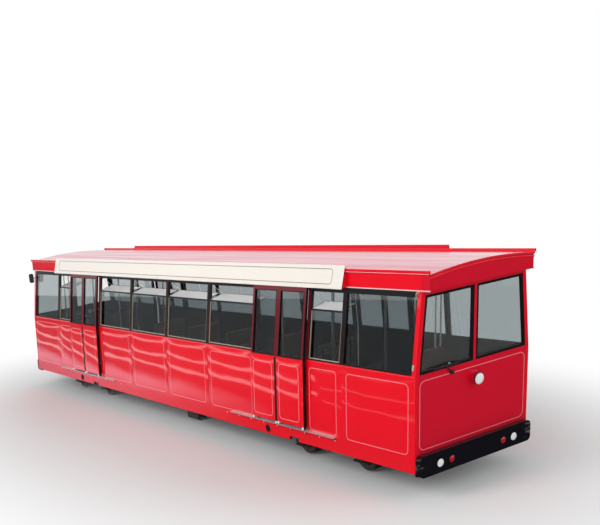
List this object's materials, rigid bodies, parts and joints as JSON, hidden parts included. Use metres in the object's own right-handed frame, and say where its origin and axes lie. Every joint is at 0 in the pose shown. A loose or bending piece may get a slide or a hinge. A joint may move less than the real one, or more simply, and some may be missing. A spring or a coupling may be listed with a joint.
{
  "type": "funicular car",
  "caption": "Funicular car for a steep line, with leaning posts, arched roof, outside sliding doors, hopper vents, two bogies and a haul rope anchor.",
  "frame": {"origin": "middle of the car's box, at the lowest point of the wheel flanges", "axes": "+X along the track to the uphill end, +Y to the left looking uphill, +Z square to the rails"},
  "size_m": [14.6945, 2.24, 3.1318],
  "materials": {
    "body_red": "gloss enamel",
    "cream": "satin enamel",
    "chassis_black": "satin, dusty",
    "floor_sheet": "matt",
    "frame_black": "satin",
    "clear_glass": "polished",
    "door_steel": "satin",
    "lens_white": "polished",
    "lens_red": "polished",
    "seat_wood": "varnished",
    "pole_steel": "polished",
    "partition_panel": "varnished",
    "desk_black": "matt",
    "wheel_steel": "worn tread"
  },
  "bodies": {
    "car": {"sills": "chassis_black", "crossbearers": "chassis_black", "deep_beams": "chassis_black", "floor": "floor_sheet", "side_wall_left": "body_red", "side_wall_right": "body_red", "end_wall_front": "body_red", "end_wall_rear": "body_red", "end_header_front": "body_red", "end_header_rear": "body_red", "roof": "body_red", "gutters": "body_red", "door_cover_left": "cream", "door_cover_right": "cream", "window_frames": "frame_black", "windscreen_frames": "frame_black", "side_glass": "clear_glass", "vents": "clear_glass", "windscreens": "clear_glass", "door_rails": "door_steel", "door_guides": "door_steel", "bumper_front": "chassis_black", "bumper_rear": "chassis_black", "white_lamps": "lens_white", "red_lamps": "lens_red", "headlamps": "lens_white", "seats": "seat_wood", "grab_poles": "pole_steel", "cab_partitions": "partition_panel", "driver_desks": "desk_black", "wipers": "desk_black", "mirrors": "frame_black", "bogie_pivots": "chassis_black", "rope_anchor": "chassis_black", "rail_brakes": "chassis_black"},
    "door_left_front_lower": {"door_left_front_lower": "body_red", "door_left_front_lower_glass": "clear_glass"},
    "door_left_front_upper": {"door_left_front_upper": "body_red", "door_left_front_upper_glass": "clear_glass"},
    "door_left_rear_lower": {"door_left_rear_lower": "body_red", "door_left_rear_lower_glass": "clear_glass"},
    "door_left_rear_upper": {"door_left_rear_upper": "body_red", "door_left_rear_upper_glass": "clear_glass"},
    "door_right_front_lower": {"door_right_front_lower": "body_red", "door_right_front_lower_glass": "clear_glass"},
    "door_right_front_upper": {"door_right_front_upper": "body_red", "door_right_front_upper_glass": "clear_glass"},
    "door_right_rear_lower": {"door_right_rear_lower": "body_red", "door_right_rear_lower_glass": "clear_glass"},
    "door_right_rear_upper": {"door_right_rear_upper": "body_red", "door_right_rear_upper_glass": "clear_glass"},
    "bogie_front": {"bogie_frame_front": "chassis_black"},
    "wheelset_front_lower": {"wheelset_front_lower": "wheel_steel"},
    "wheelset_front_upper": {"wheelset_front_upper": "wheel_steel"},
    "bogie_rear": {"bogie_frame_rear": "chassis_black"},
    "wheelset_rear_lower": {"wheelset_rear_lower": "wheel_steel"},
    "wheelset_rear_upper": {"wheelset_rear_upper": "wheel_steel"}
  },
  "joints": [
    {"name": "door_left_front_lower_slide", "type": "slide", "parent": "car", "child": "door_left_front_lower", "axis": [-1, 0, 0], "range_m": [0, 0.7]},
    {"name": "door_left_front_upper_slide", "type": "slide", "parent": "car", "child": "door_left_front_upper", "axis": [1, 0, 0], "range_m": [0, 0.7]},
    {"name": "door_left_rear_lower_slide", "type": "slide", "parent": "car", "child": "door_left_rear_lower", "axis": [-1, 0, 0], "range_m": [0, 0.7]},
    {"name": "door_left_rear_upper_slide", "type": "slide", "parent": "car", "child": "door_left_rear_upper", "axis": [1, 0, 0], "range_m": [0, 0.7]},
    {"name": "door_right_front_lower_slide", "type": "slide", "parent": "car", "child": "door_right_front_lower", "axis": [-1, 0, 0], "range_m": [0, 0.7]},
    {"name": "door_right_front_upper_slide", "type": "slide", "parent": "car", "child": "door_right_front_upper", "axis": [1, 0, 0], "range_m": [0, 0.7]},
    {"name": "door_right_rear_lower_slide", "type": "slide", "parent": "car", "child": "door_right_rear_lower", "axis": [-1, 0, 0], "range_m": [0, 0.7]},
    {"name": "door_right_rear_upper_slide", "type": "slide", "parent": "car", "child": "door_right_rear_upper", "axis": [1, 0, 0], "range_m": [0, 0.7]},
    {"name": "bogie_front_swivel", "type": "hinge", "parent": "car", "child": "bogie_front", "pos_m": [4.38424, 0, 0.44], "axis": [0, 0, 1], "range_deg": [-3, 3]},
    {"name": "wheelset_front_lower_spin", "type": "hinge", "parent": "bogie_front", "child": "wheelset_front_lower", "pos_m": [3.63424, 0, 0.247], "axis": [0, 1, 0], "continuous": true},
    {"name": "wheelset_front_upper_spin", "type": "hinge", "parent": "bogie_front", "child": "wheelset_front_upper", "pos_m": [5.13424, 0, 0.247], "axis": [0, 1, 0], "continuous": true},
    {"name": "bogie_rear_swivel", "type": "hinge", "parent": "car", "child": "bogie_rear", "pos_m": [-4.81576, 0, 0.44], "axis": [0, 0, 1], "range_deg": [-3, 3]},
    {"name": "wheelset_rear_lower_spin", "type": "hinge", "parent": "bogie_rear", "child": "wheelset_rear_lower", "pos_m": [-5.56576, 0, 0.247], "axis": [0, 1, 0], "continuous": true},
    {"name": "wheelset_rear_upper_spin", "type": "hinge", "parent": "bogie_rear", "child": "wheelset_rear_upper", "pos_m": [-4.06576, 0, 0.247], "axis": [0, 1, 0], "continuous": true}
  ],
  "couplings": [
    {"joint": "door_left_front_lower_slide", "follows": "door_left_front_upper_slide", "ratio": 1},
    {"joint": "door_left_rear_lower_slide", "follows": "door_left_rear_upper_slide", "ratio": 1},
    {"joint": "door_right_front_lower_slide", "follows": "door_right_front_upper_slide", "ratio": 1},
    {"joint": "door_right_rear_lower_slide", "follows": "door_right_rear_upper_slide", "ratio": 1}
  ]
}
